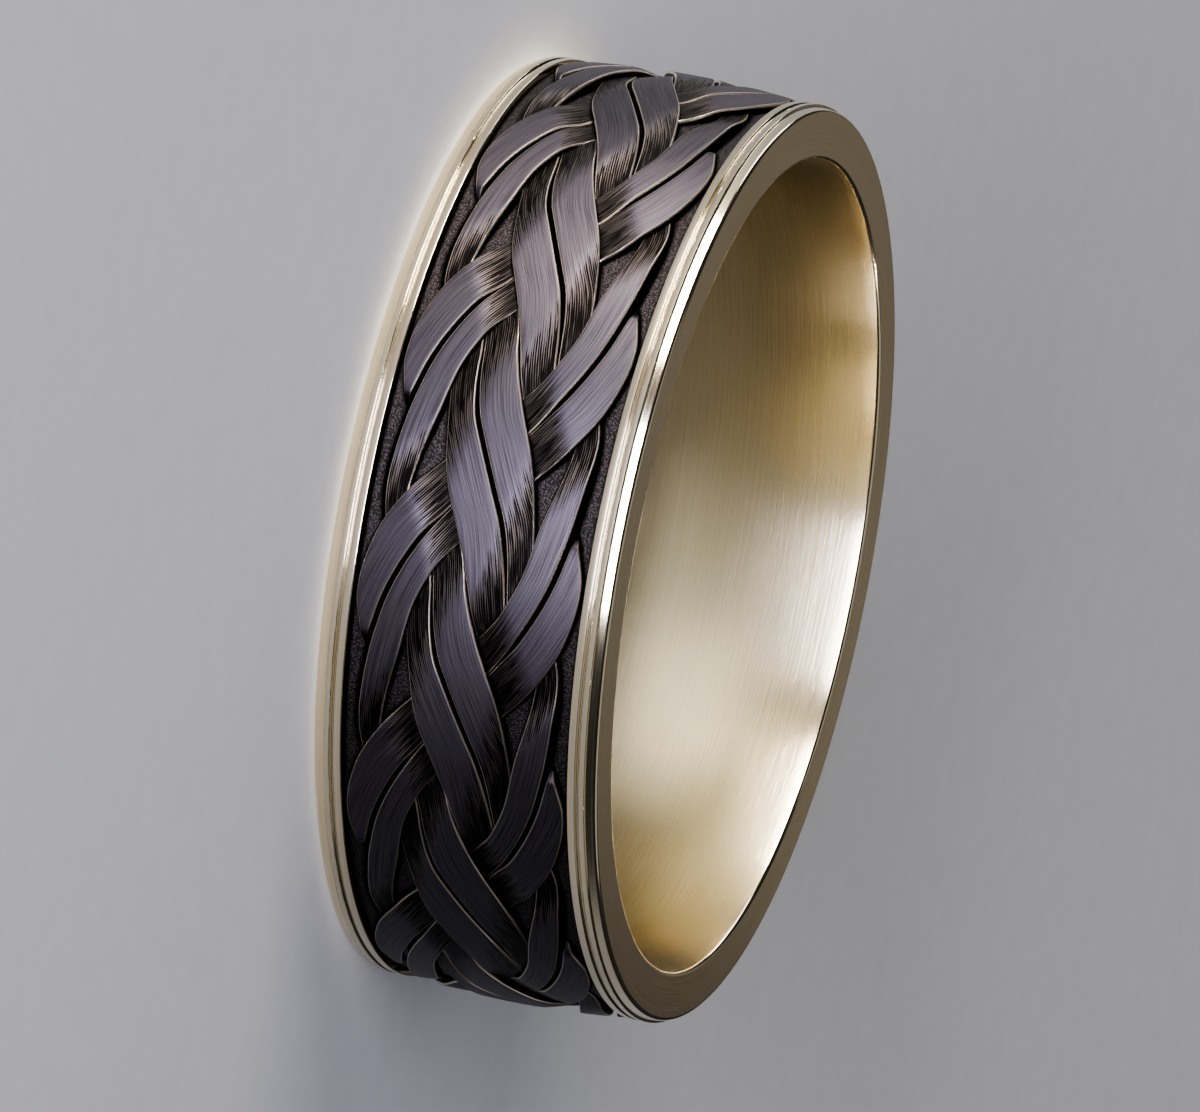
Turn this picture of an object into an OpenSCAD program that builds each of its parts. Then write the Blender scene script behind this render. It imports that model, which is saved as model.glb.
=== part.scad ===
// Two-metal finger ring: a pale gold band with stepped rails and, sunk between the
// rails, a dark inlay of four strands plaited flat around the ring.
// The ring lies on one side face, with the finger hole along Z.

/* [Band] */
// Width of the ring along the finger
band_w = 7; // [6:0.25:8]
// Diameter of the finger hole along its straight stretch
hole_d = 19.4; // [17.4:0.2:21.4]
// Thickness from the finger hole to the top of a rail
wall_t = 1.35; // [1.3:0.05:1.5]
// Gold left under the inlay
liner_t = 0.5; // [0.4:0.05:0.55]

/* [Rails] */
// Width of each rail, from the side face to the braid
rail_w = 0.7; // [0.65:0.05:0.9]
// Width of the low ledge that runs round the outside of a rail
ledge_w = 0.26; // [0.22:0.02:0.3]
// Drop from the top of a rail to its ledge
ledge_drop = 0.06; // [0.03:0.01:0.08]
// Width and depth of the fine line cut round each rail
line_w = 0.06; // [0.04:0.01:0.08]
// Radius that rounds the outer edge of a ledge
edge_r = 0.09; // [0.05:0.01:0.12]

/* [Finger hole] */
// Length of each flared end of the hole, measured along the finger
flare_w = 0.9; // [0.6:0.1:1.2]
// How far each flared end opens out
flare_rise = 0.08; // [0.05:0.01:0.12]
// Radius that rounds the mouth of the hole
mouth_r = 0.09; // [0.05:0.01:0.12]

/* [Inlay] */
// Thickness of the dark sleeve under the strands
sleeve_t = 0.2; // [0.15:0.01:0.22]
// Gap between the sleeve, the strands and the gold
play = 0.03; // [0.02:0.01:0.04]

/* [Braid] */
// Number of times that the braid repeats around the ring
repeats = 12; // [12]
// How far the braid's crown stands above the rails
crown_proud = 0.13; // [0.05:0.01:0.2]
// Fall of the braid from the middle of the ring to the rails
crown_fall = 0.1; // [0.02:0.01:0.15]
// Drop from a strand's crown to where it goes under another
dive = 0.36; // [0.35:0.01:0.38]
// Thickness of an over strand at its edge
strand_t = 0.25; // [0.22:0.01:0.28]
// Further drop once it is under
sink = 0.18; // [0.14:0.01:0.2]
// Length over which a strand dips towards its neighbour
dip_w = 1.05; // [0.9:0.05:1.1]
// Width of the groove that parts a strand into two ribbons
groove_w = 0.12; // [0.08:0.01:0.16]
// Depth of that groove
groove_d = 0.11; // [0.06:0.01:0.14]
// How much the edges of a ribbon are rounded down
ribbon_round = 0.045; // [0.02:0.005:0.06]

/* [Hidden] */

$fn = 180;
hole_r = hole_d / 2;
rail_r = hole_r + wall_t;
floor_r = hole_r + liner_t;
sleeve_r = floor_r + play + sleeve_t;
crown_r = rail_r + crown_proud;
channel_w = band_w - 2 * rail_w;
arc_steps = 6;

// The braid is charted over half of a strand's way, from the middle of the ring over
// to the rail and back. The other half is the same, turned end for end.
// Columns: left edge, groove and right edge of the strand across a 5.6 mm channel,
// in mm from its middle, with a row for each tenth of a repeat.
chart_w = 5.6;
rows_per_repeat = 10;
chart = [
    [-1.08, 0.00, 1.08], // over the middle
    [-0.89, 0.28, 1.21],
    [-0.63, 0.55, 1.32],
    [-0.38, 0.72, 1.41],
    [-0.15, 0.83, 1.55],
    [0.03, 0.91, 1.86], // under its neighbour
    [0.22, 1.15, 2.19],
    [0.80, 1.88, 2.43],
    [1.55, 2.45, 2.50],
    [1.90, 2.46, 2.50], // one ribbon along the rail
    [1.75, 2.42, 2.46],
    [1.62, 2.36, 2.40],
    [1.49, 2.28, 2.33],
    [1.39, 2.18, 2.46], // the second ribbon comes out
    [1.27, 2.03, 2.66],
    [1.06, 1.83, 2.64], // over its neighbour
    [0.77, 1.57, 2.54],
    [0.31, 1.25, 2.36],
    [-0.18, 0.84, 2.06],
    [-0.69, 0.42, 1.66],
    [-1.16, 0.00, 1.16], // under the middle
];
LEFT = 0;
GROOVE = 1;
RIGHT = 2;
half_way = 2;
whole_way = 2 * half_way;
chart_end = half_way * rows_per_repeat;
repeat_len = 2 * PI * rail_r / repeats;
sections_per_repeat = 12;

// Chart entry at a row, taken past either end by the turned half
function entry(row, col) =
    row < 0 ? -chart[-row][2 - col] :
    row > chart_end ? -chart[2 * chart_end - row][2 - col] :
    chart[row][col];

function wrap(way) = way - whole_way * floor(way / whole_way);

// Smooth curve through four evenly spaced values, between the middle two
function between(a, b, c, d, f) =
    b + f * (c - a) / 2 + f * f * (a - 2.5 * b + 2 * c - d / 2)
    + f * f * f * (3 * (b - c) + d - a) / 2;

function first_half(way, col) =
    let (row = min(floor(way * rows_per_repeat), chart_end - 1), f = way * rows_per_repeat - row)
    between(entry(row - 1, col), entry(row, col), entry(row + 1, col), entry(row + 2, col), f);

// Place across the ring of one edge or the groove of a strand, a way along it in repeats
function across(way, col) =
    let (w = wrap(way))
    channel_w / chart_w * (w <= half_way ? first_half(w, col) : -first_half(whole_way - w, 2 - col));

function ease(x) = let (t = max(0, min(1, x))) t * t * (3 - 2 * t);

// Distance from a place z across the ring to the strand that is at another way,
// square to that strand's run and negative within it
function gap_to(z, way) =
    let (step = 0.02, slope = (across(way + step, GROOVE) - across(way - step, GROOVE)) / (2 * step * repeat_len))
    max(across(way, LEFT) - z, z - across(way, RIGHT)) / sqrt(1 + slope * slope);

function within(way, from, to) = wrap(way - from) < to - from;

// Gaps from a place on a strand to the neighbours that cover it there
function covering_gaps(way, z) = [
    within(way, -0.1, 1.3) ? gap_to(z, way + 1) : dip_w,
    within(way, 1.3, 2.7) ? gap_to(z, way + 2) : dip_w,
    within(way, 2.7, 4.1) ? gap_to(z, way + 3) : dip_w,
];

// 1 where a strand covers a neighbour, falling to 0 beside it
function cover(way, z) =
    let (reach = dip_w / 3)
    max(
        within(way, -0.7, 0.7) ? 1 - ease(gap_to(z, way + 2) / reach) : 0,
        within(way, 0.9, 2.3) ? 1 - ease(gap_to(z, way + 3) / reach) : 0,
        within(way, 1.7, 3.1) ? 1 - ease(gap_to(z, way + 1) / reach) : 0
    );

function crown(z) = crown_r - crown_fall * pow(2 * z / channel_w, 2);

// Top of a strand: on its crown, dipping to where a neighbour covers it, then sinking
function top_r(way, z) =
    let (
        gaps = covering_gaps(way, z),
        lift = ease(gaps[0] / dip_w) * ease(gaps[1] / dip_w) * ease(gaps[2] / dip_w)
    )
    crown(z) - dive * (1 - lift) - sink * ease(-min(gaps) / (dip_w / 6));

// Underside of a strand: on the sleeve, or lifted over the neighbour that it covers
function under_r(way, z) =
    let (low = sleeve_r + play, high = crown(z) - strand_t, thinnest = 0.09)
    min(low + (high - low) * cover(way, z), top_r(way, z) - ribbon_round - thinnest);

// One section of a strand, as [z, radius] from its left edge over its top and back
function section(way) =
    let (
        l = across(way, LEFT), g = across(way, GROOVE), r = across(way, RIGHT),
        lw = g - l, rw = r - g,
        side = 0.2, most = 0.3,
        gl = g - min(groove_w / 2, most * lw), gr = g + min(groove_w / 2, most * rw),
        cut = min(groove_d, groove_d * rw / groove_w, groove_d * lw / groove_w)
    )
    [
        [l, top_r(way, l) - ribbon_round],
        [l + side * lw, top_r(way, l + side * lw)],
        [gl - side * lw / 2, top_r(way, gl - side * lw / 2)],
        [gl, top_r(way, gl) - ribbon_round],
        [g, top_r(way, g) - ribbon_round - cut],
        [gr, top_r(way, gr) - ribbon_round],
        [gr + side * rw / 2, top_r(way, gr + side * rw / 2)],
        [r - side * rw, top_r(way, r - side * rw)],
        [r, top_r(way, r) - ribbon_round],
        [r, under_r(way, r)],
        [g, under_r(way, g)],
        [l, under_r(way, l)],
    ];

// A strand is its sections carried round the ring, each turned to its own angle
module strand(first_way) {
    turns = repeats * sections_per_repeat;
    rings = [for (i = [0 : turns - 1]) section(first_way + i / sections_per_repeat)];
    sides = len(rings[0]);
    points = [
        for (i = [0 : turns - 1], p = rings[i])
            let (a = 360 * i / turns) [p[1] * cos(a), p[1] * sin(a), band_w / 2 + p[0]]
    ];
    faces = [
        for (i = [0 : turns - 1], j = [0 : sides - 1])
            let (
                a = i * sides + j, b = i * sides + (j + 1) % sides,
                c = (i + 1) % turns * sides + (j + 1) % sides, d = (i + 1) % turns * sides + j
            )
            each [[a, b, c], [a, c, d]]
    ];
    polyhedron(points, faces, convexity = 10);
}

// Points along a quarter round about a centre, from one angle to another
function quarter(centre, radius, from) =
    [for (k = [0 : arc_steps]) let (a = from - 90 * k / arc_steps) centre + radius * [cos(a), sin(a)]];

// Flared end of the finger hole: an arc that leaves the straight stretch smoothly
flare_r = (flare_w * flare_w + flare_rise * flare_rise) / (2 * flare_rise);
function flare_points() =
    [for (k = [1 : arc_steps])
        let (z = flare_w * k / arc_steps)
        [hole_r + flare_r - sqrt(flare_r * flare_r - z * z), z + band_w / 2 - mouth_r - flare_w]];

// Half of the band's outline as [radius, z above the middle], from the hole outward
function half_outline() =
    let (
        end = band_w / 2,
        mouth_foot = hole_r + flare_rise,
        ledge_r = rail_r - ledge_drop,
        line_z = end - rail_w + rail_w / 3
    )
    concat(
        flare_points(),
        quarter([mouth_foot + mouth_r, end - mouth_r], mouth_r, 180),
        quarter([ledge_r - edge_r, end - edge_r], edge_r, 90),
        [
            [ledge_r, end - ledge_w],
            [rail_r, end - ledge_w],
            [rail_r, line_z + line_w / 2],
            [rail_r - line_w / 2, line_z],
            [rail_r, line_z - line_w / 2],
            [rail_r, end - rail_w],
            [floor_r, end - rail_w],
        ]
    );

module gold_band() {
    half = half_outline();
    outline = concat(
        half,
        [for (k = [len(half) - 1 : -1 : 0]) [half[k][0], -half[k][1]]]
    );
    color("#d9cba8") translate([0, 0, band_w / 2]) rotate_extrude() polygon(outline);
}

module inlay_sleeve() {
    color("#232126") translate([0, 0, band_w / 2]) rotate_extrude()
        translate([floor_r + play, -channel_w / 2 + play]) square([sleeve_t, channel_w - 2 * play]);
}

module strand_1() { color("#57535c") strand(0); }
module strand_2() { color("#524e57") strand(1); }
module strand_3() { color("#5b5760") strand(2); }
module strand_4() { color("#4e4a53") strand(3); }

gold_band();
inlay_sleeve();
strand_1();
strand_2();
strand_3();
strand_4();
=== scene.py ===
# %% [markdown]
# # A two-metal ring with a braided inlay
# The real object is a wide wedding band: pale gold, with a dark inlay that is carved
# as a flat plait of four strands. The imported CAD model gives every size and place.
# This lesson loads that model, sets up the camera, and then builds each visible piece
# again with a finer mesh and a material that is worked out from nodes.

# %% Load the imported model
import math
from functools import partial

import bpy
import numpy as np
from mathutils import Matrix, Vector


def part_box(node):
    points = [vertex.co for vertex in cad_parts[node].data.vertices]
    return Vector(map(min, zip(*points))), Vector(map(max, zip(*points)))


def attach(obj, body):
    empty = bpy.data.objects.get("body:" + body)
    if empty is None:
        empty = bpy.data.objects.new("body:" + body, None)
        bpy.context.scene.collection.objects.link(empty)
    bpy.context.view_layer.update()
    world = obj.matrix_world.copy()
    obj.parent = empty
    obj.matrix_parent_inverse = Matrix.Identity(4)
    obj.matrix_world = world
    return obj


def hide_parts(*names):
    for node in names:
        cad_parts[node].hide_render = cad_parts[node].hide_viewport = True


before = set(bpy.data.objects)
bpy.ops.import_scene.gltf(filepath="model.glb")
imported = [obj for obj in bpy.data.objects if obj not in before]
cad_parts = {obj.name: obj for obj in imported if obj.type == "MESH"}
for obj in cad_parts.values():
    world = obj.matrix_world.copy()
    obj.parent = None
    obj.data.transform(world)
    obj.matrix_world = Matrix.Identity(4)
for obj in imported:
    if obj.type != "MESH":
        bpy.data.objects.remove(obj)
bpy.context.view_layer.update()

MM = 0.001

# %% [markdown]
# ## Sizes
# A ring is turned on a lathe, so most of its sizes are radii from the finger's axis and
# places along that axis. They are the CAD model's own values, in millimetres. The ring
# lies on one side face, its axis points up, and z is counted from the middle of its width.

# %% Sizes of the band, from the CAD model
BAND_W = 7.0
HOLE_R = 9.7
RAIL_R = 11.05
FLOOR_R = 10.2
RAIL_W = 0.7
LEDGE_W = 0.26
LEDGE_DROP = 0.06
LINE_W = 0.1
LINE_DEPTH = 0.07
EDGE_R = 0.09
FLARE_RISE = 0.08
MOUTH_R = 0.09
CHANNEL_W = BAND_W - 2 * RAIL_W
SLEEVE_R = 10.43
PLAY = 0.03

low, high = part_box("gold_band")
print("band width", round((high[2] - low[2]) / MM, 3), "mm")
print("outside diameter", round((high[0] - low[0]) / MM, 3), "mm")

# %% [markdown]
# ## Camera
# The photo was taken from far away with a long lens, so the ring shows almost no
# perspective. The camera looks at the upper side face from about 16 degrees above it,
# and it is rolled by about 100 degrees, because the photo shows the ring standing on its
# rim. Blender's camera looks along its own -Z, so a direction, an elevation and a roll
# fix it.

# %% Set the camera
CAMERA_AZIMUTH = math.radians(-84.335)
CAMERA_ELEVATION = math.radians(15.891)
CAMERA_ROLL = math.radians(100.758)
CAMERA_DISTANCE = 710.3 * MM
TARGET = Vector((0.420, 0.012, 3.395)) * MM
LENS_MM = 900
SENSOR_MM = 36

back = Vector((
    math.cos(CAMERA_ELEVATION) * math.cos(CAMERA_AZIMUTH),
    math.cos(CAMERA_ELEVATION) * math.sin(CAMERA_AZIMUTH),
    math.sin(CAMERA_ELEVATION),
))
level_right = Vector((0, 0, 1)).cross(back).normalized()
level = Matrix((level_right, back.cross(level_right), back)).transposed()
camera_data = bpy.data.cameras.new("camera")
camera_data.lens = LENS_MM
camera_data.sensor_width = SENSOR_MM
camera = bpy.data.objects.new("camera", camera_data)
bpy.context.scene.collection.objects.link(camera)
camera.matrix_world = (
    Matrix.Translation(TARGET + back * CAMERA_DISTANCE)
    @ (level @ Matrix.Rotation(CAMERA_ROLL, 3, "Z")).to_4x4()
)
bpy.context.scene.camera = camera
print("camera stands", round(camera.matrix_world.translation.z / MM), "mm above the floor")

# %% [markdown]
# ## From a grid of points to a mesh
# Every new piece is a surface worked out as a grid: one index runs round the ring, the
# other across the piece's outline. Both run in a circle, so the grid closes on itself like
# a tyre and has no open seam. Besides its points, a piece may carry numbers at each
# point, which its material reads as attributes, and a UV map in real millimetres.

# %% A mesh from a closed grid
def closed_grid(name, points, marks=None, uv=None):
    """Mesh from points[along, across] in mm; both directions close on themselves.

    Each four neighbouring points make one face, wound so that its normal points outward
    when the outline runs anticlockwise, seen along the way round. marks holds one number
    per point. uv[along + 1, across + 1] is in mm, its last row and column for the seam."""
    along, across = points.shape[:2]
    i, j = np.meshgrid(np.arange(along), np.arange(across), indexing="ij")
    corner_i = np.stack([i, i + 1, i + 1, i], axis=-1)
    corner_j = np.stack([j, j, j + 1, j + 1], axis=-1)
    faces = (corner_i % along) * across + corner_j % across
    mesh = bpy.data.meshes.new(name)
    mesh.from_pydata((points * MM).reshape(-1, 3), [], faces.reshape(-1, 4))
    mesh.polygons.foreach_set("use_smooth", np.ones(along * across, dtype=bool))
    for mark, values in (marks or {}).items():
        attribute = mesh.attributes.new(mark, "FLOAT", "POINT")
        attribute.data.foreach_set("value", values.astype(np.float32).ravel())
    if uv is not None:
        layer = mesh.uv_layers.new(name="along_across")
        layer.data.foreach_set("uv", uv[corner_i, corner_j].astype(np.float32).ravel())
    mesh.update()
    piece = bpy.data.objects.new(name, mesh)
    bpy.context.scene.collection.objects.link(piece)
    print(name, "has", 2 * along * across, "triangles")
    return piece


# %% [markdown]
# ## The gold band
# On the real ring the band is one turned piece of gold: a smooth hole that opens out at
# both ends, flat side faces, and on each side a polished rail with a low ledge and a fine
# cut line. Spinning an outline is the natural way to make it. No edge on a finished ring
# is sharp, and the light that such an edge catches draws the rail in the photo, so every
# corner of the outline is rounded by a small arc. The hole's flare rises as much as the CAD
# model's, but it starts further in, so it is gentler, and the light in the hole runs on
# over it without a break. It stays within 0.04 mm of the CAD model's.

# %% Round the corners of an outline
SUPPORT = 0.012
LEAST_SUPPORT = 0.002
ARC_STEPS = 5


def rounded(corners):
    """Open outline from (radius, z, rounding) corners.

    Each corner becomes an arc that touches both of its sides at rounding * tan(half the
    turn). A point SUPPORT beyond each of the arc's ends, or nearer to it where a side is
    short, keeps the flat beside it flat."""
    path = [np.array(corners[0][:2])]
    for before, here, after in zip(corners[:-2], corners[1:-1], corners[2:]):
        p, r = np.array(here[:2]), here[2]
        to_before, to_after = np.array(before[:2]) - p, np.array(after[:2]) - p
        u, v = to_before / np.linalg.norm(to_before), to_after / np.linalg.norm(to_after)
        half = math.acos(np.clip(u @ v, -1, 1)) / 2
        reach = r / math.tan(half)
        centre = p + (u + v) / np.linalg.norm(u + v) * r / math.sin(half)
        start, end = p + u * reach - centre, p + v * reach - centre
        turn = math.pi - 2 * half
        f = np.linspace(0, 1, ARC_STEPS + 1)[:, None]
        arc = centre + (np.sin((1 - f) * turn) * start + np.sin(f * turn) * end) / math.sin(turn)
        room = min(np.linalg.norm(to_before), np.linalg.norm(to_after)) / 3
        pad = min(SUPPORT, max(room - reach, LEAST_SUPPORT))
        path += [p + u * (reach + pad), *arc, p + v * (reach + pad)]
    path.append(np.array(corners[-1][:2]))
    return np.array(path)


# %% Outline of the band and the piece
TURNED_STEPS = 512
FLARE_W = 2.6
FLARE_POINTS = 9
FINE_R = 0.02  # rounding of the rail's fine corners
TOP_R = 0.025  # rounding of the rail's two outer corners
BAND_CROWN = 0.008  # how far each of the rail's two polished bands is domed
SOFT_R = 0.6  # rounding of those domes
LEDGE_FALL = 0.05  # how far the ledge slopes down to the side face
end = BAND_W / 2
ledge_r = RAIL_R - LEDGE_DROP
line_z = end - RAIL_W + RAIL_W / 3
foot = HOLE_R + FLARE_RISE  # radius at which the flare ends, at the hole's mouth
flare_r = (FLARE_W ** 2 + FLARE_RISE ** 2) / (2 * FLARE_RISE)
flare_z = np.linspace(0, FLARE_W, FLARE_POINTS)
flare = np.stack([
    HOLE_R + flare_r - np.sqrt(flare_r ** 2 - flare_z ** 2),
    flare_z + end - MOUTH_R - FLARE_W,
], axis=1)
shoulder_r = RAIL_R - BAND_CROWN
outer_half = rounded([
    (foot, end - MOUTH_R - EDGE_R, 0),
    (foot, end, MOUTH_R),
    (ledge_r - LEDGE_FALL, end, EDGE_R),
    (ledge_r, end - LEDGE_W, FINE_R),
    (shoulder_r, end - LEDGE_W, TOP_R),
    (RAIL_R, (end - LEDGE_W + line_z + LINE_W / 2) / 2, SOFT_R),
    (shoulder_r, line_z + LINE_W / 2, FINE_R),
    (RAIL_R - LINE_DEPTH, line_z, FINE_R),
    (shoulder_r, line_z - LINE_W / 2, FINE_R),
    (RAIL_R, (end - RAIL_W + line_z - LINE_W / 2) / 2, SOFT_R),
    (shoulder_r, end - RAIL_W, TOP_R),
    (FLOOR_R, end - RAIL_W, FINE_R),
    (FLOOR_R, 0, 0),
])
past_flare = 3  # the first arc starts at the flare's last point, so that point is dropped
half_outline = np.concatenate([[(HOLE_R, 0.0)], flare, outer_half[past_flare:-1]])
outline = np.concatenate([half_outline * (1, -1), half_outline[:0:-1]])


def on_ring(radius, angle, z):
    """Points (r cos a, r sin a, z), all raised by half the width, so that none is below the
    floor."""
    x, y = radius * np.cos(angle), radius * np.sin(angle)
    return np.stack(np.broadcast_arrays(x, y, z + end), axis=-1)


turned_angle = np.linspace(0, 2 * np.pi, TURNED_STEPS, endpoint=False)[:, None]
band = closed_grid("gold_band_turned", on_ring(outline[:, 0], turned_angle, outline[:, 1]))

# %% [markdown]
# ## The plait
# Four strands take turns: each crosses the middle over one neighbour, turns at the rail,
# goes under the next, and comes back. All four follow the same path, each one repeat
# behind the last, so one chart of that path is enough. A strand's place along its path is
# its way, counted in repeats: way 0 lies over the middle, way 1 beside one rail, way 2
# under the middle, and way 3 beside the other rail. There are twelve repeats in the
# ring, so a strand closes on itself after three whole paths. Where a strand goes under at
# way 0.71 it comes out again closer to the rail, so the chart has a part before that and
# a part after it, and the change from one to the other is out of sight.

# %% Chart of a strand's path
REPEATS = 12
REPEAT_LEN = 2 * math.pi * RAIL_R / REPEATS
ROWS_PER_REPEAT = 10
HALF_PATH = 2
LEFT, GROOVE, RIGHT = 0, 1, 2
going_under = [
    [-1.08, 0.00, 1.08],  # over the middle; left edge, groove, right edge, in mm
    [-0.89, 0.28, 1.21],
    [-0.63, 0.55, 1.32],
    [-0.38, 0.72, 1.41],
    [-0.15, 0.83, 1.55],
    [0.03, 0.91, 1.86],  # under its neighbour
    [0.18, 1.02, 2.19],
    [0.38, 1.22, 2.28],
    [0.58, 1.45, 2.41],
]
coming_out = [
    [1.98, 2.10, 2.50],
    [1.94, 2.28, 2.54],
    [1.89, 2.42, 2.56],
    [1.84, 2.46, 2.57],
    [1.75, 2.43, 2.57],  # one ribbon along the rail
    [1.62, 2.37, 2.56],
    [1.49, 2.29, 2.57],
    [1.39, 2.17, 2.62],  # the second ribbon comes out
    [1.27, 2.03, 2.69],
    [1.06, 1.83, 2.67],  # over its neighbour
    [0.77, 1.57, 2.55],
    [0.31, 1.25, 2.36],
    [-0.18, 0.84, 2.06],
    [-0.69, 0.42, 1.66],
    [-1.16, 0.00, 1.16],  # under the middle
]
JUMP, JUMP_W = 0.705, 0.015  # in repeats, where the chart's parts change over
TIP, TIP_W = 1.2, 0.2  # in repeats, where the second ribbon's tip starts, and its length
SLIVER = 0.03  # in mm, the width of that ribbon before its tip


def smooth_rows(rows):
    """Row before the first and after the last, from the half of the path that is this
    one turned end for end, so that a curve through the rows runs on smoothly."""
    rows = np.array(rows)
    return np.concatenate([-rows[1:2, ::-1], rows, -rows[-2:-1, ::-1]])


chart_rows = HALF_PATH * ROWS_PER_REPEAT + 1
before_jump = smooth_rows(going_under + coming_out[len(going_under) - chart_rows:])
after_jump = smooth_rows(going_under[:chart_rows - len(coming_out)] + coming_out)


def through_rows(rows, w, column):
    """Cubic curve through the rows at place w: its slope at each row is half the step from
    the row before to the row after."""
    place = np.clip(w * ROWS_PER_REPEAT, 0, HALF_PATH * ROWS_PER_REPEAT - 1e-6)
    row = np.floor(place).astype(int)
    f = place - row
    a, b, c, d = (rows[row + k, column] for k in range(4))
    return (b + f * (c - a) / 2 + f ** 2 * (a - 2.5 * b + 2 * c - d / 2)
            + f ** 3 * (3 * (b - c) + d - a) / 2)


def ease(x):
    """0 below 0, 1 above 1, and between them 6x^5 - 15x^4 + 10x^3. It starts and ends
    level and without a sudden bend, so a reflection that runs over it has no hard edge."""
    t = np.clip(x, 0, 1)
    return t ** 3 * (6 * t ** 2 - 15 * t + 10)


def first_half(w, column):
    """The two parts of the chart, changed over at the jump. The second ribbon is only a
    sliver beside the groove at first. Past TIP it swells along a quarter of a circle,
    the root of 1 - (1 - t)^2, so that its tip is round."""
    later = through_rows(after_jump, w, column)
    if column == RIGHT:
        groove = through_rows(after_jump, w, GROOVE)
        t = np.clip((w - TIP) / TIP_W, 0, 1)
        later = groove + SLIVER + (later - groove - SLIVER) * np.sqrt(1 - (1 - t) ** 2)
    change = ease((w - JUMP) / JUMP_W)
    return through_rows(before_jump, w, column) * (1 - change) + later * change


def across(way, column):
    """Place across the ring of an edge or the groove, for any way along the path."""
    w = np.mod(way, 2 * HALF_PATH)
    return np.where(w <= HALF_PATH, first_half(np.minimum(w, HALF_PATH), column),
                    -first_half(np.minimum(2 * HALF_PATH - w, HALF_PATH), RIGHT - column))


print("a strand is", round(float(across(0.0, RIGHT) - across(0.0, LEFT)), 2), "mm wide at the middle")

# %% [markdown]
# ## Over and under
# A strand's height comes from how far each point is from the neighbour that covers it:
# far away it stays on the crown, and close to that neighbour's edge it dips, then sinks
# out of sight below it. Working with distances instead of drawing heights by hand keeps
# every crossing tidy at once.

# %% Heights of a strand
CROWN_R = RAIL_R + 0.13
CROWN_FALL = 0.17
DIVE = 0.16
SINK = 0.34
DIP_W = 1.15  # a strand starts to dip this far from the neighbour that covers it
SINK_W = DIP_W / 6  # it has sunk this far below that neighbour's edge
COVER_W = DIP_W / 3  # its own underside comes down again this far beside a neighbour
STRAND_T = 0.25
THINNEST = 0.09
RIBBON_ROUND = 0.04

# A strand's neighbours lie 1, 2 and 3 repeats ahead of it. Each row says on which stretch
# of way the strand meets one of them, and how far ahead that one is.
COVERED_BY = ((-0.1, 1.3, 1), (1.3, 2.7, 2), (2.7, 4.1, 3))
COVERS = ((-0.7, 0.7, 2), (0.9, 2.3, 3), (1.7, 3.1, 1))


def slope(way):
    """How far the groove moves across the ring for each mm round it: the difference over a
    short step to each side, kept within 1 so that the jump doesn't count."""
    step = 0.02
    rise = (across(way + step, GROOVE) - across(way - step, GROOVE)) / (2 * step * REPEAT_LEN)
    return np.clip(rise, -1, 1)


def gap_to(z, way):
    """Distance from z to the nearer edge of the strand at that way, measured square to its
    run by dividing by the root of 1 + slope^2. It is negative inside the strand."""
    return np.maximum(across(way, LEFT) - z, z - across(way, RIGHT)) / np.sqrt(1 + slope(way) ** 2)


def within(way, start, stop):
    """Whether a way, which comes round again after a whole path, is on a stretch."""
    return np.mod(way - start, 2 * HALF_PATH) < stop - start


def gaps_to_covers(way, z):
    """Gaps to the neighbours that lie over the strand, each only on its own stretch."""
    return np.stack([
        np.where(within(way, start, stop), gap_to(z, way + shift), DIP_W)
        for start, stop, shift in COVERED_BY
    ])


def crown(z):
    """The plait is slightly domed: its radius falls with the square of z."""
    return CROWN_R - CROWN_FALL * (2 * z / CHANNEL_W) ** 2


def lift(way, z):
    """1 on the crown of a strand, 0 where a neighbour's edge covers it: the gaps to the
    covers, as shares of the dip's width, are eased and multiplied."""
    return np.prod(ease(gaps_to_covers(way, z) / DIP_W), axis=0)


def top_r(way, z):
    """Crown, less the dive beside a covering neighbour, less the sink once below it."""
    under = ease(-gaps_to_covers(way, z).min(axis=0) / SINK_W)
    return crown(z) - DIVE * (1 - lift(way, z)) - SINK * under


def cover(way, z):
    """1 where the strand lies over a neighbour, eased to 0 at COVER_W beside it."""
    return np.max(np.stack([
        np.where(within(way, start, stop), 1 - ease(gap_to(z, way + shift) / COVER_W), 0)
        for start, stop, shift in COVERS
    ]), axis=0)


def under_r(way, z):
    """Underside of a strand: on the ground, raised by cover() to a strand's thickness below
    the crown, and always THINNEST below the rounded top."""
    low_r, high_r = SLEEVE_R + PLAY, crown(z) - STRAND_T
    raised_r = low_r + (high_r - low_r) * cover(way, z)
    return np.minimum(raised_r, top_r(way, z) - RIBBON_ROUND - THINNEST)


crown_radii = [round(crown(z), 2) for z in (0, CHANNEL_W / 2)]
print("crown radius in the middle and beside a rail, in mm:", crown_radii)
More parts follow.
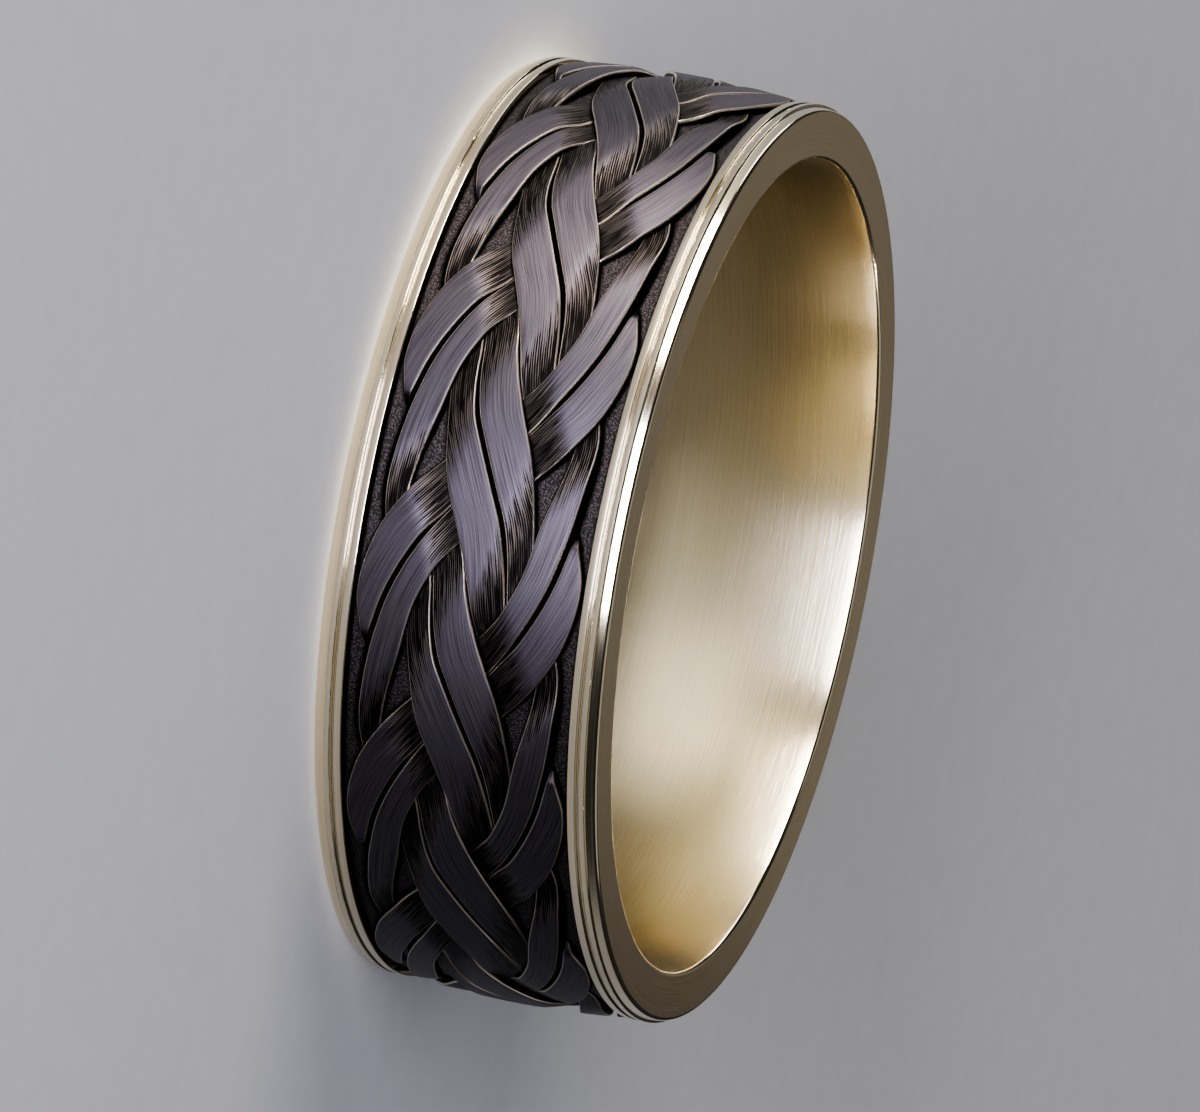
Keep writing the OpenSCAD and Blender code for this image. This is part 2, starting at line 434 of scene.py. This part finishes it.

# %% [markdown]
# ## One strand
# A strand is a pair of flat ribbons with a cut groove between them. Its section is laid
# out across the ring: over the left ribbon, through the groove, over the right ribbon,
# down the right wall, along the underside and up the left wall. Points crowd together near
# each edge, because the rounding there is only a twentieth of a millimetre and still has to
# catch the light. Three numbers at each point tell the material where it is: how far it
# dives, how near a ribbon's edge it is, for a bright line that is partly wear and partly a
# painted highlight, and whether it is in a groove, on a wall or on a narrow ribbon, which
# are painted black as shade. A ribbon that is only a sliver lies out of sight in the
# ground, and its round tip rises from there.

# %% Sections of a strand
SECTIONS_PER_REPEAT = 80
GROOVE_W = 0.135
GROOVE_DEPTH = 0.2
GROOVE_LEAST = 0.35  # share of its width that the groove keeps where the strand dives
GROOVE_SHARE = 0.3  # largest share of a ribbon that half of the groove takes
LIP = 0.18  # share of the groove's wall over which the painted black of shade sets in
SUNK_W = 0.22  # a ribbon that is narrower than this starts to sink into the ground
SHADE_BLACK_W = 1.8 * SUNK_W  # and one that is narrower than this starts to turn black, as painted shade
ROUND_W = 0.055  # width of the rounding along a ribbon's edge
WORN_AND_GLINT_W = 0.036  # width of the bright line along an edge, partly wear and partly painted highlight
EDGE_STEPS = np.array([0.0, 0.1, 0.25, 0.45, 0.7, 1.0])
INNER_STEPS = 8
WALL_STEPS = np.array([0.12, 0.5, 1.0])

# Where the parts of a section lie in the UV map, in mm, far enough apart that no two share
# the lines that the material draws.
LEFT_V, GROOVE_V, RIGHT_V = 4.0, 4.5, 5.0
RIGHT_WALL_V, UNDER_V, LEFT_WALL_V, SEAM_V = 8.0, 8.5, 9.0, 9.5
WALL_V = 0.3


def ribbon(way, left, right):
    """Points over one ribbon from its left edge to its right, and their distance to the
    nearer edge. Near an edge the top falls along a quarter of an ellipse."""
    width = right - left
    rim = np.minimum(ROUND_W, width / 3)
    inner = np.linspace(0, 1, INNER_STEPS + 2)[1:-1]
    place = np.concatenate([
        rim * EDGE_STEPS,
        rim + (width - 2 * rim) * inner,
        width - rim * EDGE_STEPS[::-1],
    ], axis=1)
    to_edge = np.minimum(place, width - place)
    z = left + place
    drop = 1 - np.sqrt(1 - (1 - np.minimum(to_edge / rim, 1)) ** 2)
    return z, top_r(way, z) - RIBBON_ROUND * drop, to_edge


def sliver(width, whole):
    """1 for a ribbon of no width, eased to 0 for one as wide as whole."""
    return 1 - ease(width / whole)


# The mask of the bright line along each edge: partly wear, partly painted highlight.
def worn_and_glint_edge(to_edge, low):
    """1 on an edge, in a straight line down to 0 at WORN_AND_GLINT_W from it, and 0 on a sliver."""
    return (1 - np.clip(to_edge / WORN_AND_GLINT_W, 0, 1)) * (1 - low)


def sections(way):
    """Place across, radius, worn, deep and v, each with one row of points for each way in
    the column. The groove is GROOVE_W wide on a crown and narrows to GROOVE_LEAST of that
    in a dip. Its floor lies GROOVE_DEPTH below its lower lip, or less beside a sliver."""
    left, groove, right = (across(way, column) for column in (LEFT, GROOVE, RIGHT))
    half = GROOVE_W / 2 * (GROOVE_LEAST + (1 - GROOVE_LEAST) * lift(way, groove))
    lip1 = groove - np.minimum(half, GROOVE_SHARE * (groove - left))
    lip2 = groove + np.minimum(half, GROOVE_SHARE * (right - groove))
    cut = GROOVE_DEPTH * np.clip(np.minimum(groove - left, right - groove) / (2 * GROOVE_W), 0, 1)
    z1, r1, to_edge1 = ribbon(way, left, lip1)
    z2, r2, to_edge2 = ribbon(way, lip2, right)
    low1, low2 = sliver(lip1 - left, SUNK_W), sliver(right - lip2, SUNK_W)
    # Narrow ribbons turn black as they sink into the ground: painted shade.
    shade_black1, shade_black2 = sliver(lip1 - left, SHADE_BLACK_W), sliver(right - lip2, SHADE_BLACK_W)
    r1 -= SINK * low1
    r2 -= SINK * low2
    left_r, lip1_r, lip2_r, right_r = r1[:, :1], r1[:, -1:], r2[:, :1], r2[:, -1:]
    floor_r = np.minimum(lip1_r, lip2_r) - cut
    groove_z = np.concatenate([lip1, lip1, groove, lip2, lip2], axis=1)
    under_lip1, under_lip2 = lip1_r - LIP * cut, lip2_r - LIP * cut
    groove_r = np.concatenate([under_lip1, floor_r, floor_r, floor_r, under_lip2], axis=1)
    right_wall = right_r + (under_r(way, right) - right_r) * WALL_STEPS
    left_wall = left_r + (under_r(way, left) - left_r) * WALL_STEPS[::-1]
    tilt = np.sqrt(1 + slope(way) ** 2)
    parts = (
        (z1, r1, worn_and_glint_edge(to_edge1, low1), shade_black1, LEFT_V + (z1 - lip1) / tilt),
        (groove_z, groove_r, 0, 1, GROOVE_V),
        (z2, r2, worn_and_glint_edge(to_edge2, low2), shade_black2, RIGHT_V + (z2 - lip2) / tilt),
        (right, right_wall, 0, 1, RIGHT_WALL_V + WALL_V * WALL_STEPS),
        (groove, under_r(way, groove), 0, 1, UNDER_V),
        (left, left_wall, 0, 1, LEFT_WALL_V + WALL_V * WALL_STEPS),
    )
    full_parts = [np.broadcast_arrays(*part) for part in parts]
    return [np.concatenate(values, axis=1) for values in zip(*full_parts)]


def strand(name, first_way):
    """Sections at evenly spaced angles round the ring, from the hidden way 2 onwards. The
    strand is at first_way where the angle is 0. Along the UV map goes the length of the
    groove, summed up from section to section."""
    way = HALF_PATH + np.arange(REPEATS * SECTIONS_PER_REPEAT)[:, None] / SECTIONS_PER_REPEAT
    angle = (way - first_way) * 2 * math.pi / REPEATS
    z, radius, worn_and_glint, deep_shade, v = sections(way)
    groove = across(np.append(way, way[0]), GROOVE)
    length = np.cumsum(np.hypot(np.diff(groove), REPEAT_LEN / SECTIONS_PER_REPEAT))
    uv = np.empty((z.shape[0] + 1, z.shape[1] + 1, 2))
    uv[..., 0] = np.append(0, length)[:, None]
    uv[:, :-1, 1] = np.concatenate([v, v[:1]])
    uv[:, -1, 1] = SEAM_V
    marks = {"dive": 1 - lift(way, z), "worn_and_glint": worn_and_glint, "deep_shade": deep_shade}
    return closed_grid(name, on_ring(radius, angle, z), marks, uv)


strands = [strand(f"braid_strand_{k + 1}", k) for k in range(4)]

# %% [markdown]
# ## The ground under the plait
# Between the strands one looks down on a dark ground that is pricked all over with a fine
# punch. The CAD model has a plain sleeve there. On the real ring the ground stands higher
# in the open corners of the plait than below the strands, so here its height follows the
# distance to the nearest strand. The distance to a strand or rail is also kept at each
# point, for a line of painted shade, black along every foot.

# %% The sleeve and its raised corners
GROUND_RISE = 0.42  # in the open corners, up to a strand's edge
RISE_W = 0.1  # how far in below that edge the rise runs out
GROUND_STEPS = 768
GROUND_ROWS = 112
INSIDE_ROWS = 6
half_sleeve = CHANNEL_W / 2 - PLAY
inside_z = np.linspace(half_sleeve, -half_sleeve, INSIDE_ROWS)
inside_r = np.full((GROUND_STEPS, INSIDE_ROWS), FLOOR_R + PLAY)
ground_z = np.linspace(-half_sleeve, half_sleeve, GROUND_ROWS)
ground_way = np.linspace(0, REPEATS, GROUND_STEPS, endpoint=False)[:, None]
strand_gap = np.min(np.stack([gap_to(ground_z, ground_way + k) for k in range(4)]), axis=0)
ground_r = SLEEVE_R + GROUND_RISE * ease(1 + strand_gap / RISE_W)
foot_gap = np.minimum(strand_gap, CHANNEL_W / 2 - np.abs(ground_z))
ground_points = on_ring(
    np.concatenate([inside_r, ground_r], axis=1),
    ground_way * 2 * math.pi / REPEATS,
    np.concatenate([inside_z, ground_z]),
)
foot_mark = np.concatenate([0 * inside_r, foot_gap], axis=1)
ground = closed_grid("braid_ground", ground_points, {"foot_gap": foot_mark})

# %% [markdown]
# ## Colours and nodes
# Colours are written as the sRGB values that one would pick on a screen, and one function
# turns them into the linear light that a renderer adds up. Another small function adds a
# node with its settings and its links, and every material below is written with it.

# %% Helpers for materials
def linear(hex_colour):
    """Each channel c becomes c / 12.92 if small, otherwise ((c + 0.055) / 1.055)^2.4."""
    c = np.array([int(hex_colour[k:k + 2], 16) for k in (1, 3, 5)]) / 255
    return (*np.where(c <= 0.04045, c / 12.92, ((c + 0.055) / 1.055) ** 2.4).tolist(), 1.0)


def add(tree, kind, inputs, stops=(), **settings):
    """Adds a node. An input, by name or number, is a value, a hex colour, or another node
    or one of its outputs to link. stops are a colour ramp's places and hex colours."""
    node = tree.nodes.new("ShaderNode" + kind)
    for key, value in settings.items():
        setattr(node, key, value)
    for key, value in inputs.items():
        socket = node.inputs[key] if isinstance(key, int) else next(
            s for s in node.inputs if s.name == key and s.enabled)
        if isinstance(value, bpy.types.Node):
            value = next(s for s in value.outputs if s.enabled)
        if isinstance(value, bpy.types.NodeSocket):
            tree.links.new(value, socket)
        else:
            socket.default_value = linear(value) if isinstance(value, str) else value
    for k, (place, value) in enumerate(stops):
        elements = node.color_ramp.elements
        element = elements[k] if k < 2 else elements.new(1.0)
        element.position, element.color = place, linear(value)
    return node


def new_material(name, inputs_of):
    """A material whose shader inputs come from inputs_of(node), where node adds a node. It
    is a metal unless these inputs say otherwise."""
    material = bpy.data.materials.new(name)
    material.use_nodes = True
    material.node_tree.nodes.clear()
    node = partial(add, material.node_tree)
    shader = node("BsdfPrincipled", {"Metallic": 1.0, **inputs_of(node)})
    node("OutputMaterial", {"Surface": shader})
    print(name, "has", len(material.node_tree.nodes), "nodes")
    return material


# %% [markdown]
# ## Gold
# Pale fourteen-carat gold has a champagne colour, less red than yellow gold. It is
# polished on the rails and left satin on the side faces and in the hole, where
# a fine abrasive was held against the turning ring. So its scratches run round the ring,
# and a reflection in them is smeared along the finger. Reading a noise much more
# finely along the finger than round the ring draws such scratches.

# %% Gold finishes
GOLD = "#E5DAC1"
GOLD_DEEP = "#D9CCAA"
SCRATCH_DEPTH_MM = 0.01
R_WEIGHT = 1.4  # the radius counts as well as z, so that a side face has lines too

# Real scratches are about 0.01 mm wide, which is too fine to show in the render. So they
# are drawn several times as wide.
POLISH_MM, POLISH_RUN_MM = 0.05, 6.0
SATIN_MM, SATIN_RUN_MM = 0.035, 3.0


def turned_scratches(node, line_mm, run_mm):
    """Noise that is line_mm fine along the radius and z, and run_mm long round the ring:
    it is read at (x / r, y / r) times the rail's radius, raised by (R_WEIGHT r + z) times
    run_mm / line_mm."""
    xyz = node("SeparateXYZ", {0: node("TexCoord", {}).outputs["Object"]}).outputs
    flat = node("CombineXYZ", {0: xyz[0], 1: xyz[1]})
    radius = node("VectorMath", {0: flat}, operation="LENGTH").outputs["Value"]
    along = node("Math", {0: radius, 1: R_WEIGHT, 2: xyz[2]}, operation="MULTIPLY_ADD")
    fine = node("Math", {0: along, 1: run_mm / line_mm}, operation="MULTIPLY")
    unit = node("VectorMath", {0: flat}, operation="NORMALIZE")
    round_way = node("VectorMath", {0: unit, "Scale": RAIL_R * MM}, operation="SCALE")
    place = node("VectorMath", {0: round_way, 1: node("CombineXYZ", {2: fine})}, operation="ADD")
    return node("TexNoise", {
        "Vector": place, "Scale": 1 / (run_mm * MM), "Detail": 3.0, "Roughness": 0.6,
    }).outputs["Fac"]


def polished_gold(node):
    """A mirror with faint lines from the polishing wheel."""
    lines = turned_scratches(node, POLISH_MM, POLISH_RUN_MM)
    return {
        "Base Color": node("ValToRGB", {0: lines}, [(0.35, GOLD_DEEP), (0.65, GOLD)]),
        "Roughness": node("MapRange", {"Value": lines, "To Min": 0.08, "To Max": 0.18}),
        "Normal": node("Bump", {"Height": lines, "Strength": 0.03, "Distance": SCRATCH_DEPTH_MM * MM}),
    }


def satin_gold(node):
    """Broad, soft reflections with a fine grain that runs round the ring."""
    lines = turned_scratches(node, SATIN_MM, SATIN_RUN_MM)
    return {
        "Base Color": node("ValToRGB", {0: lines}, [(0.3, GOLD_DEEP), (0.7, GOLD)]),
        "Roughness": node("MapRange", {"Value": lines, "To Min": 0.18, "To Max": 0.25}),
        "Normal": node("Bump", {"Height": lines, "Strength": 0.25, "Distance": SCRATCH_DEPTH_MM * MM}),
        "Anisotropic": 0.6,
        "Anisotropic Rotation": 0.25,
        "Tangent": node("Tangent", {}, direction_type="RADIAL", axis="Z"),
    }


band.data.materials.append(new_material("polished_champagne_gold", polished_gold))
band.data.materials.append(new_material("satin_champagne_gold", satin_gold))

# %% Which strips of the band are satin
PAST_FOOT = 0.01  # how far satin reaches past the flare's end
PAST_FACE = 0.02  # how far it reaches into the face's outer rounding
BELOW_FACE = 0.001  # how far below the face's plane the middle of a flat strip may lie
middle_r = (outline[:, 0] + np.roll(outline[:, 0], -1)) / 2
middle_z = np.abs(outline[:, 1] + np.roll(outline[:, 1], -1)) / 2
in_hole = middle_r < foot + PAST_FOOT
on_face = (middle_z > end - BELOW_FACE) & (middle_r < ledge_r - EDGE_R + PAST_FACE)
satin = (in_hole | on_face).astype(np.int32)
band.data.polygons.foreach_set("material_index", np.tile(satin, TURNED_STEPS))
band.data.update()
print("satin strips on the outline:", int(satin.sum()), "of", len(satin))

# %% [markdown]
# ## Dark metal
# The plait is a dark grey metal, such as tantalum or blackened gold. Its crowns are
# smooth and slightly lilac. Where a strand dips below the next, a graver has cut fine
# lines along it, and black was left in them; the dip is also darkened by painted shade as it
# nears the strand that covers it. Edges that a finger touches have lost their black to wear
# and show bright metal, painted brighter still as a highlight. Grooves, walls and narrow
# ribbons are painted black as shade. The mesh already says where all of this is, so the
# material only has to mix colours by those numbers. The lines are read from the strand's
# own UV map, so that they follow every bend.

# %% Braid finish
CUT_PER_MM = 19  # cuts are 0.05 mm apart, as in the photo
CUT_MM = 0.8
CUT_NOISE_PER_MM = 0.8 * CUT_PER_MM
CUT_BEND = 4.0
CUT_CREST = 0.2
DIVE_POWER, DIVE_SHARE = 0.6, 0.45
INK_FROM, INK_FULL = 0.72, 0.9
HAIR_MM = 2.0
HAIR_PER_MM = 38  # real hairs are about 0.01 mm apart, too fine to show, so these are coarser
HAIR_SHARE = 0.3
GRAVER_DEPTH_MM = 0.01
WORN_AND_GLINT_POWER = 1.3
CROWN_DARK, CROWN_LIGHT = "#333034", "#4B474C"
DIP_DARK, DIP_LIGHT = "#2E2A28", "#6A625C"
# The next colour is partly bare metal where wear has reached it and partly painted highlight.
WORN_AND_GLINT_BRIGHT = "#EDE2D2"
# The second colour here is painted shade for grooves, walls and narrow ribbons; the first is the black
# left in the cuts.
INK, GROOVE_SHADE_BLACK = "#0D0B0B", "#050405"


def graved_braid(node):
    """Brushed crowns, cuts that crowd together in the dips, painted shade in the dips, edges
    bright from wear and painted highlight, and grooves painted black as shade.

    A cut is a crest of a sine wave across the strand. The level at a point is
    noise + CUT_CREST sin(2 pi CUT_PER_MM v + CUT_BEND noise) + DIVE_SHARE dive^DIVE_POWER,
    and ink fills it from INK_FROM to INK_FULL. So the noise lets each crest end somewhere
    else, and the dive lifts all of them, so they get longer and wider."""
    uv = node("UVMap", {}, uv_map="along_across")
    dive, worn_and_glint, deep_shade = (
        node("Attribute", {}, attribute_name=name).outputs["Fac"]
        for name in ("dive", "worn_and_glint", "deep_shade")
    )
    cut_uv = node("Mapping", {"Vector": uv, "Scale": (1 / CUT_MM, CUT_NOISE_PER_MM, 1.0)})
    hair_uv = node("Mapping", {"Vector": uv, "Scale": (1 / HAIR_MM, HAIR_PER_MM, 1.0)})
    noise, hair = (
        node("TexNoise", {"Vector": place, "Scale": 1.0, "Detail": 1.5, "Roughness": 0.5},
             noise_dimensions="2D").outputs["Fac"]
        for place in (cut_uv, hair_uv)
    )
    v = node("SeparateXYZ", {0: uv}).outputs[1]
    turns = node("Math", {0: v, 1: 2 * math.pi * CUT_PER_MM}, operation="MULTIPLY")
    phase = node("Math", {0: noise, 1: CUT_BEND, 2: turns}, operation="MULTIPLY_ADD")
    wave = node("Math", {0: phase}, operation="SINE")
    crest = node("Math", {0: wave, 1: CUT_CREST, 2: noise}, operation="MULTIPLY_ADD")
    reach = node("Math", {0: dive, 1: DIVE_POWER}, operation="POWER")
    level = node("Math", {0: reach, 1: DIVE_SHARE, 2: crest}, operation="MULTIPLY_ADD")
    lifted = node("MapRange", {"Value": level, "From Min": INK_FROM, "From Max": INK_FULL})
    strength = node("MapRange", {"Value": dive, "From Max": 0.15, "To Min": 0.25, "To Max": 1.0})
    ink = node("Math", {0: lifted, 1: strength}, operation="MULTIPLY")

    crown_colour = node("ValToRGB", {0: hair}, [(0.3, CROWN_DARK), (0.7, CROWN_LIGHT)])
    dip_colour = node("ValToRGB", {0: hair}, [(0.3, DIP_DARK), (0.7, DIP_LIGHT)])
    dipping = node("MapRange", {"Value": dive, "From Min": 0.05, "From Max": 0.6})
    body = node("Mix", {"Factor": dipping, "A": crown_colour, "B": dip_colour}, data_type="RGBA")
    # Painted shade: the dips darken as they near the strand that covers them.
    shade = node("MapRange", {"Value": dive, "From Min": 0.1, "To Min": 1.0, "To Max": 0.35})
    shaded = node("Mix", {"Factor": 1.0, "A": body, "B": shade},
                  data_type="RGBA", blend_type="MULTIPLY")
    inked = node("Mix", {"Factor": ink, "A": shaded, "B": INK}, data_type="RGBA")
    # The bright edge line: partly wear, partly painted highlight.
    rubbed_and_glint = node("Math", {0: worn_and_glint, 1: WORN_AND_GLINT_POWER}, operation="POWER")
    glint_edged = node("Mix", {"Factor": rubbed_and_glint, "A": inked, "B": WORN_AND_GLINT_BRIGHT}, data_type="RGBA")

    uncut = node("Math", {0: 1.0, 1: ink}, operation="SUBTRACT")
    height = node("Math", {0: hair, 1: HAIR_SHARE, 2: uncut}, operation="MULTIPLY_ADD")
    dull = node("MapRange", {"Value": dipping, "To Min": 0.5, "To Max": 0.56})
    return {
        # painted shade: grooves, walls and narrow ribbons turn black
        "Base Color": node("Mix", {"Factor": deep_shade, "A": glint_edged, "B": GROOVE_SHADE_BLACK}, data_type="RGBA"),
        "Roughness": node("Mix", {"Factor": rubbed_and_glint, "A": dull, "B": 0.3}),
        "Normal": node("Bump", {"Height": height, "Strength": 0.4, "Distance": GRAVER_DEPTH_MM * MM}),
        "Anisotropic": 0.3,
        "Anisotropic Rotation": 0.25,
        "Tangent": node("Tangent", {}, direction_type="UV_MAP", uv_map="along_across"),
    }


braid_metal = new_material("graved_dark_tantalum", graved_braid)
for piece in strands:
    piece.data.materials.append(braid_metal)

# %% [markdown]
# ## Punched ground
# A fine punch leaves the ground full of tiny pits. They scatter the light, so it looks matt
# and nearly black beside the strands. A Voronoi texture gives the distance to the nearest
# of many scattered points, which is just how a field of pits rises around each prick.

# %% Ground finish
PUNCH_MM = 0.05  # from one prick to the next, as in the photo
PUNCH_DEPTH_MM = 0.015
# The last colour is painted shade, the black along the foot of every strand and rail.
NEAR_PRICK, BETWEEN_PRICKS, FOOT_PAINTED_SHADE = "#3F3A39", "#1F1D1E", "#040303"
FOOT_SHADE_FULL_TO, FOOT_CLEAR_FROM = 0.03, 0.12


def punched_ground(node):
    """Dull grain that a fine punch leaves, with painted shade, black along every foot."""
    place = node("TexCoord", {}).outputs["Object"]
    dots = node("TexVoronoi", {"Vector": place, "Scale": 1 / (PUNCH_MM * MM)}).outputs["Distance"]
    grain = node("ValToRGB", {0: dots}, [(0.2, NEAR_PRICK), (0.6, BETWEEN_PRICKS)])
    gap = node("Attribute", {}, attribute_name="foot_gap").outputs["Fac"]
    # Painted shade: black where the ground meets a strand or rail, clearing further away.
    clear = node("MapRange", {"Value": gap, "From Min": FOOT_SHADE_FULL_TO, "From Max": FOOT_CLEAR_FROM})
    return {
        "Base Color": node("Mix", {"Factor": clear, "A": FOOT_PAINTED_SHADE, "B": grain}, data_type="RGBA"),
        "Roughness": 0.6,
        "Normal": node("Bump", {"Height": dots, "Strength": 0.6, "Distance": PUNCH_DEPTH_MM * MM}),
    }


ground.data.materials.append(new_material("punched_black_tantalum", punched_ground))

# %% [markdown]
# ## Floor and light
# Metal shows what stands around it, so the studio matters as much as the finish. The
# floor is plain, pale, matt paper. Most of the light comes in low, from the side that is
# the top of the picture and from beneath the camera, because the plait's crowns face that
# way. What each lamp does to the metal is said beside it. The room is much dimmer than the
# lamps, so that the gold has something dark to reflect.

# %% Floor
FLOOR_HALF = 1.5  # in metres
PAPER_GRAINS_PER_MM = 0.9
CORNERS = ((-1, -1), (1, -1), (1, 1), (-1, 1))
floor_mesh = bpy.data.meshes.new("floor")
floor_mesh.from_pydata([(x * FLOOR_HALF, y * FLOOR_HALF, 0) for x, y in CORNERS], [], [(0, 1, 2, 3)])
floor = bpy.data.objects.new("floor", floor_mesh)
bpy.context.scene.collection.objects.link(floor)


def pale_paper(node):
    """Matt paper with a faint mottle about a millimetre across."""
    place = node("TexCoord", {}).outputs["Object"]
    grain = node("TexNoise", {"Vector": place, "Scale": PAPER_GRAINS_PER_MM / MM, "Detail": 4.0})
    return {
        "Metallic": 0.0,
        "Base Color": node("ValToRGB", {0: grain.outputs["Fac"]}, [(0.3, "#D9DCE1"), (0.7, "#DDE0E5")]),
        "Roughness": 0.8,
    }


floor.data.materials.append(new_material("pale_paper", pale_paper))
print("the floor is", 2 * FLOOR_HALF, "m wide")

# %% Lamps and room
ROOM_GREY, ROOM_STRENGTH = "#8C8C90", 0.11


def lamp(name, kind, azimuth, elevation, distance, watts,
         target=(0, 0, end), colour="#FFFFFF", **settings):
    """A light that faces a target, in mm, from a distance along the direction
    (cos e cos a, cos e sin a, sin e). Its azimuth a and elevation e are in degrees, and its
    distance and its own sizes in metres."""
    a, e = math.radians(azimuth), math.radians(elevation)
    away = Vector((math.cos(e) * math.cos(a), math.cos(e) * math.sin(a), math.sin(e)))
    data = bpy.data.lights.new(name, kind)
    data.energy = watts
    data.color = linear(colour)[:3]
    for key, value in settings.items():
        setattr(data, key, value)
    placed = bpy.data.objects.new(name, data)
    placed.location = Vector(target) * MM + away * distance
    placed.rotation_euler = away.to_track_quat("Z", "Y").to_euler()
    bpy.context.scene.collection.objects.link(placed)
    print(name, "stands", distance, "m away")


# A low, warm strip beyond the top of the picture. It draws the crowns and the bright
# stretch of the rails.
lamp("key", "AREA", -152, 4, 0.35, 3.4, colour="#FFF6EE", shape="RECTANGLE", size=0.26, size_y=0.04)
# Low, wide and cool, beneath the camera: the crowns' lilac sheen.
lamp("side", "AREA", -90, 6, 0.5, 6, colour="#F0EEFF", shape="RECTANGLE", size=0.4, size_y=0.09)
# Weak and low, beyond the ring, for the crowns that curve away at the top of the picture.
lamp("far", "AREA", 155, 8, 0.5, 0.6, shape="RECTANGLE", size=0.3, size_y=0.08)
# Small and near. The satin side face mirrors it and so gets its gradient.
lamp("back", "AREA", 104, 19, 0.19, 0.003, colour="#FFF0DC", shape="RECTANGLE", size=0.08, size_y=0.08)
# Soft and weak, for the floor and whatever faces up.
lamp("above", "AREA", 60, 72, 0.5, 0.35, shape="RECTANGLE", size=0.6, size_y=0.5)
# A narrow beam through the hole onto the floor, whose pool of light the hole's wall mirrors.
# Its cone is kept clear of the rim, which would otherwise draw a line of light on the floor.
lamp("into_the_hole", "SPOT", 42, 42, 0.15, 6.8, target=(-5.5, -1, 0), colour="#FFFBF2",
     spot_size=math.radians(4.8), spot_blend=1.0, shadow_soft_size=0.003)

world = bpy.data.worlds.new("studio")
world.use_nodes = True
background = world.node_tree.nodes["Background"]
background.inputs["Color"].default_value = linear(ROOM_GREY)
background.inputs["Strength"].default_value = ROOM_STRENGTH
bpy.context.scene.world = world
bpy.context.scene.view_settings.look = "AgX - Medium High Contrast"

# %% [markdown]
# ## Hand the pieces over
# Nothing on the ring moves, so every piece rides on its one body, root. Each piece takes
# the place of the CAD node that it was built after, which is hidden; the table also names
# that node's material slot.

# %% Finish: every piece rides on the ring's one body
for piece, node, slot in (
    (band, "gold_band", "gold"), (ground, "inlay_sleeve", "dark_floor"),
    *((strands[k], f"strand_{k + 1}", "dark_braid") for k in range(4)),
):
    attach(piece, "root")
    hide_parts(node)
